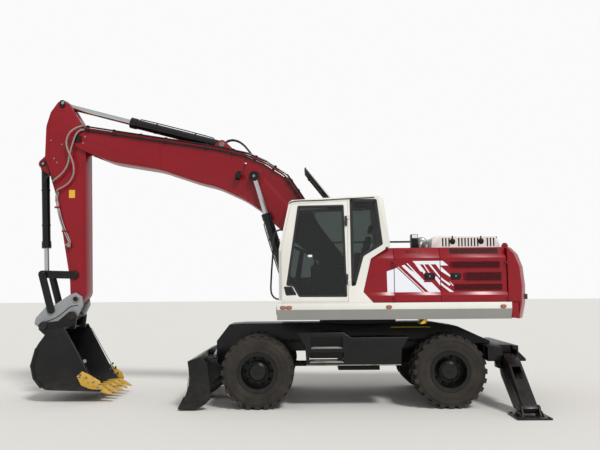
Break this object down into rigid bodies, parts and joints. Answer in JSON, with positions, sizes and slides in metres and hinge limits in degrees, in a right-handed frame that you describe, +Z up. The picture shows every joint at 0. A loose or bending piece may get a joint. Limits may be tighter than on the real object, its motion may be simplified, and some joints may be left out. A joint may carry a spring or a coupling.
{
  "type": "wheeled excavator",
  "caption": "Wheeled excavator with a swinging upper works and cab, a boom, arm, quick coupler and bucket, a front dozer blade and rear outriggers.",
  "frame": {"origin": "on the ground under the middle of the whole machine's box as it stands with its boom forward", "axes": "+X forward along the boom, +Y to the cab side, +Z up"},
  "size_m": [7.939, 4.196, 4.949],
  "materials": {
    "black_paint": "semi-gloss black enamel with dust",
    "red_paint": "gloss dark red enamel",
    "white_paint": "gloss white enamel",
    "grey_paint": "grey enamel, worn at the pins",
    "yellow_paint": "yellow enamel, scraped",
    "dark_steel": "dark oily casting",
    "worn_steel": "black enamel, dusty and scraped",
    "bright_steel": "dull bright sheet",
    "chrome_rod": "hard chrome",
    "clear_glass": "clear safety glass",
    "tyre_rubber": "dusty black rubber",
    "seat_cloth": "dark woven cloth",
    "dark_plastic": "moulded dark plastic",
    "amber_lens": "clear dyed lamp lens",
    "hose_rubber": "black hose cover with dust"
  },
  "bodies": {
    "chassis": {"chassis_frame": "black_paint", "slew_ring": "dark_steel", "front_axle": "black_paint", "rear_axle": "black_paint", "drive_line": "dark_steel", "side_boxes": "black_paint", "tow_hitch": "black_paint"},
    "knuckle_left": {"knuckle_left": "black_paint"},
    "knuckle_right": {"knuckle_right": "black_paint"},
    "wheel_front_left": {"tyre_front_left": "tyre_rubber", "rim_front_left": "black_paint"},
    "wheel_front_right": {"tyre_front_right": "tyre_rubber", "rim_front_right": "black_paint"},
    "wheel_rear_left": {"tyre_rear_left": "tyre_rubber", "rim_rear_left": "black_paint"},
    "wheel_rear_right": {"tyre_rear_right": "tyre_rubber", "rim_rear_right": "black_paint"},
    "blade": {"blade": "black_paint"},
    "blade_barrels": {"blade_barrels": "black_paint"},
    "blade_rods": {"blade_rods": "chrome_rod"},
    "outrigger_left": {"outrigger_left": "black_paint"},
    "outrigger_right": {"outrigger_right": "black_paint"},
    "upper": {"turntable": "black_paint", "deck_skirts": "white_paint", "counterweight": "red_paint", "engine_house": "red_paint", "engine": "dark_steel", "tanks": "red_paint", "exhaust": "bright_steel", "air_cleaner": "black_paint", "handrails": "black_paint", "lamps": "amber_lens", "cab_shell": "white_paint", "cab_glass": "clear_glass", "seat": "seat_cloth", "controls": "dark_plastic"},
    "engine_cover": {"engine_cover": "white_paint"},
    "door_left_front": {"door_left_front": "red_paint"},
    "door_left_rear": {"door_left_rear": "red_paint"},
    "door_right_front": {"door_right_front": "red_paint"},
    "door_right_rear": {"door_right_rear": "red_paint"},
    "tool_box_lid": {"tool_box_lid": "black_paint"},
    "cab_door": {"cab_door": "white_paint", "door_glass": "clear_glass"},
    "roof_hatch": {"roof_hatch": "black_paint"},
    "boom": {"boom": "red_paint", "boom_fittings": "black_paint", "arm_hoses": "hose_rubber"},
    "boom_barrels": {"boom_barrels": "black_paint"},
    "boom_rods": {"boom_rods": "chrome_rod"},
    "arm": {"arm": "red_paint"},
    "arm_barrel": {"arm_barrel": "black_paint"},
    "arm_rod": {"arm_rod": "chrome_rod"},
    "bucket_barrel": {"bucket_barrel": "black_paint"},
    "bucket_rod": {"bucket_rod": "chrome_rod"},
    "bucket_lever": {"bucket_lever": "black_paint"},
    "bucket_link": {"bucket_link": "black_paint"},
    "bucket": {"coupler": "grey_paint", "bucket": "worn_steel", "bucket_teeth": "yellow_paint"}
  },
  "joints": [
    {"name": "steer_left", "type": "hinge", "parent": "chassis", "child": "knuckle_left", "pos_m": [0.2105, 0.7, 0.53], "axis": [0, 0, 1], "range_deg": [-25, 25]},
    {"name": "steer_right", "type": "hinge", "parent": "chassis", "child": "knuckle_right", "pos_m": [0.2105, -0.7, 0.53], "axis": [0, 0, 1], "range_deg": [-25, 25]},
    {"name": "spin_front_left", "type": "hinge", "parent": "knuckle_left", "child": "wheel_front_left", "pos_m": [0.2105, 0.95, 0.53], "axis": [0, 1, 0], "continuous": true},
    {"name": "spin_front_right", "type": "hinge", "parent": "knuckle_right", "child": "wheel_front_right", "pos_m": [0.2105, -0.95, 0.53], "axis": [0, 1, 0], "continuous": true},
    {"name": "spin_rear_left", "type": "hinge", "parent": "chassis", "child": "wheel_rear_left", "pos_m": [-2.5895, 0.95, 0.53], "axis": [0, 1, 0], "continuous": true},
    {"name": "spin_rear_right", "type": "hinge", "parent": "chassis", "child": "wheel_rear_right", "pos_m": [-2.5895, -0.95, 0.53], "axis": [0, 1, 0], "continuous": true},
    {"name": "blade_lift", "type": "hinge", "parent": "chassis", "child": "blade", "pos_m": [0.7205, 0, 0.43], "axis": [0, -1, 0], "range_deg": [-6, 24]},
    {"name": "blade_barrel_turn", "type": "hinge", "parent": "chassis", "child": "blade_barrels", "pos_m": [0.8005, 0, 1.01], "axis": [0, -1, 0], "range_deg": [-9, 9]},
    {"name": "blade_rod_slide", "type": "slide", "parent": "blade_barrels", "child": "blade_rods", "axis": [0.4559, 0, -0.89], "range_m": [-0.16, 0.06]},
    {"name": "outrigger_left_swing", "type": "hinge", "parent": "chassis", "child": "outrigger_left", "pos_m": [-3.5045, 0.87, 0.64], "axis": [1, 0, 0], "range_deg": [-4, 45]},
    {"name": "outrigger_right_swing", "type": "hinge", "parent": "chassis", "child": "outrigger_right", "pos_m": [-3.5045, -0.87, 0.64], "axis": [-1, 0, 0], "range_deg": [-4, 45]},
    {"name": "swing", "type": "hinge", "parent": "chassis", "child": "upper", "pos_m": [-1.3395, 0, 1.263], "axis": [0, 0, 1], "continuous": true},
    {"name": "engine_cover_lift", "type": "hinge", "parent": "upper", "child": "engine_cover", "pos_m": [-2.9595, -0.862, 2.347], "axis": [1, 0, 0], "range_deg": [0, 60]},
    {"name": "door_left_front_swing", "type": "hinge", "parent": "upper", "child": "door_left_front", "pos_m": [-1.8025, 1.262, 1.93], "axis": [0, 0, 1], "range_deg": [-100, 0]},
    {"name": "door_left_rear_swing", "type": "hinge", "parent": "upper", "child": "door_left_rear", "pos_m": [-3.4555, 1.262, 1.93], "axis": [0, 0, 1], "range_deg": [0, 100]},
    {"name": "door_right_front_swing", "type": "hinge", "parent": "upper", "child": "door_right_front", "pos_m": [-1.8025, -1.262, 1.93], "axis": [0, 0, 1], "range_deg": [0, 100]},
    {"name": "door_right_rear_swing", "type": "hinge", "parent": "upper", "child": "door_right_rear", "pos_m": [-3.4555, -1.262, 1.93], "axis": [0, 0, 1], "range_deg": [-100, 0]},
    {"name": "tool_box_lid_lift", "type": "hinge", "parent": "upper", "child": "tool_box_lid", "pos_m": [-0.709, -0.86, 1.944], "axis": [0, -1, 0], "range_deg": [0, 75]},
    {"name": "cab_door_swing", "type": "hinge", "parent": "upper", "child": "cab_door", "pos_m": [-1.1275, 1.262, 2.3], "axis": [0, 0, 1], "range_deg": [0, 165]},
    {"name": "roof_hatch_lift", "type": "hinge", "parent": "upper", "child": "roof_hatch", "pos_m": [-0.8765, 0.765, 3.09492], "axis": [0, -1, 0], "range_deg": [-55, 33]},
    {"name": "boom_lift", "type": "hinge", "parent": "upper", "child": "boom", "pos_m": [-1.2595, -0.07, 1.88], "axis": [0, 1, 0], "range_deg": [-38, 32]},
    {"name": "boom_barrel_turn", "type": "hinge", "parent": "upper", "child": "boom_barrels", "pos_m": [-0.3195, -0.07, 1.48], "axis": [0, 1, 0], "range_deg": [-38, 38]},
    {"name": "boom_rod_slide", "type": "slide", "parent": "boom_barrels", "child": "boom_rods", "axis": [0.2968, 0, 0.9549], "range_m": [-0.7, 0.7]},
    {"name": "arm_swing", "type": "hinge", "parent": "boom", "child": "arm", "pos_m": [3.2865, -0.07, 4.259], "axis": [0, -1, 0], "range_deg": [-16, 78]},
    {"name": "arm_barrel_turn", "type": "hinge", "parent": "boom", "child": "arm_barrel", "pos_m": [0.8895, -0.07, 4.153], "axis": [0, -1, 0], "range_deg": [-4, 4]},
    {"name": "arm_rod_slide", "type": "slide", "parent": "arm_barrel", "child": "arm_rod", "axis": [0.9655, 0, 0.2603], "range_m": [-1.05, 0.4]},
    {"name": "bucket_curl", "type": "hinge", "parent": "arm", "child": "bucket", "pos_m": [3.2645, -0.07, 1.6], "axis": [0, -1, 0], "range_deg": [-90, 55]},
    {"name": "bucket_lever_turn", "type": "hinge", "parent": "arm", "child": "bucket_lever", "pos_m": [3.2905, -0.07, 1.993], "axis": [0, -1, 0], "range_deg": [-75, 50]},
    {"name": "bucket_link_turn", "type": "hinge", "parent": "bucket_lever", "child": "bucket_link", "pos_m": [3.8205, -0.07, 2.01], "axis": [0, -1, 0], "range_deg": [-30, 42]},
    {"name": "bucket_barrel_turn", "type": "hinge", "parent": "arm", "child": "bucket_barrel", "pos_m": [3.8945, -0.07, 3.862], "axis": [0, -1, 0], "range_deg": [-4, 4]},
    {"name": "bucket_rod_slide", "type": "slide", "parent": "bucket_barrel", "child": "bucket_rod", "axis": [-0.0399, 0, -0.9992], "range_m": [-0.4, 0.6]}
  ],
  "couplings": [
    {"joint": "steer_right", "follows": "steer_left", "ratio": 1},
    {"joint": "blade_barrel_turn", "follows": "blade_lift", "ratio": -0.206},
    {"joint": "blade_rod_slide", "follows": "blade_lift", "m_per_rad": -0.323},
    {"joint": "boom_barrel_turn", "follows": "boom_lift", "ratio": 0.944},
    {"joint": "boom_rod_slide", "follows": "boom_lift", "m_per_rad": -0.975},
    {"joint": "arm_barrel_turn", "follows": "arm_swing", "ratio": 0.02},
    {"joint": "arm_rod_slide", "follows": "arm_swing", "m_per_rad": -0.611},
    {"joint": "bucket_lever_turn", "follows": "bucket_curl", "ratio": 0.76},
    {"joint": "bucket_link_turn", "follows": "bucket_curl", "ratio": -0.4},
    {"joint": "bucket_barrel_turn", "follows": "bucket_curl", "ratio": 0.03},
    {"joint": "bucket_rod_slide", "follows": "bucket_curl", "m_per_rad": -0.361}
  ]
}
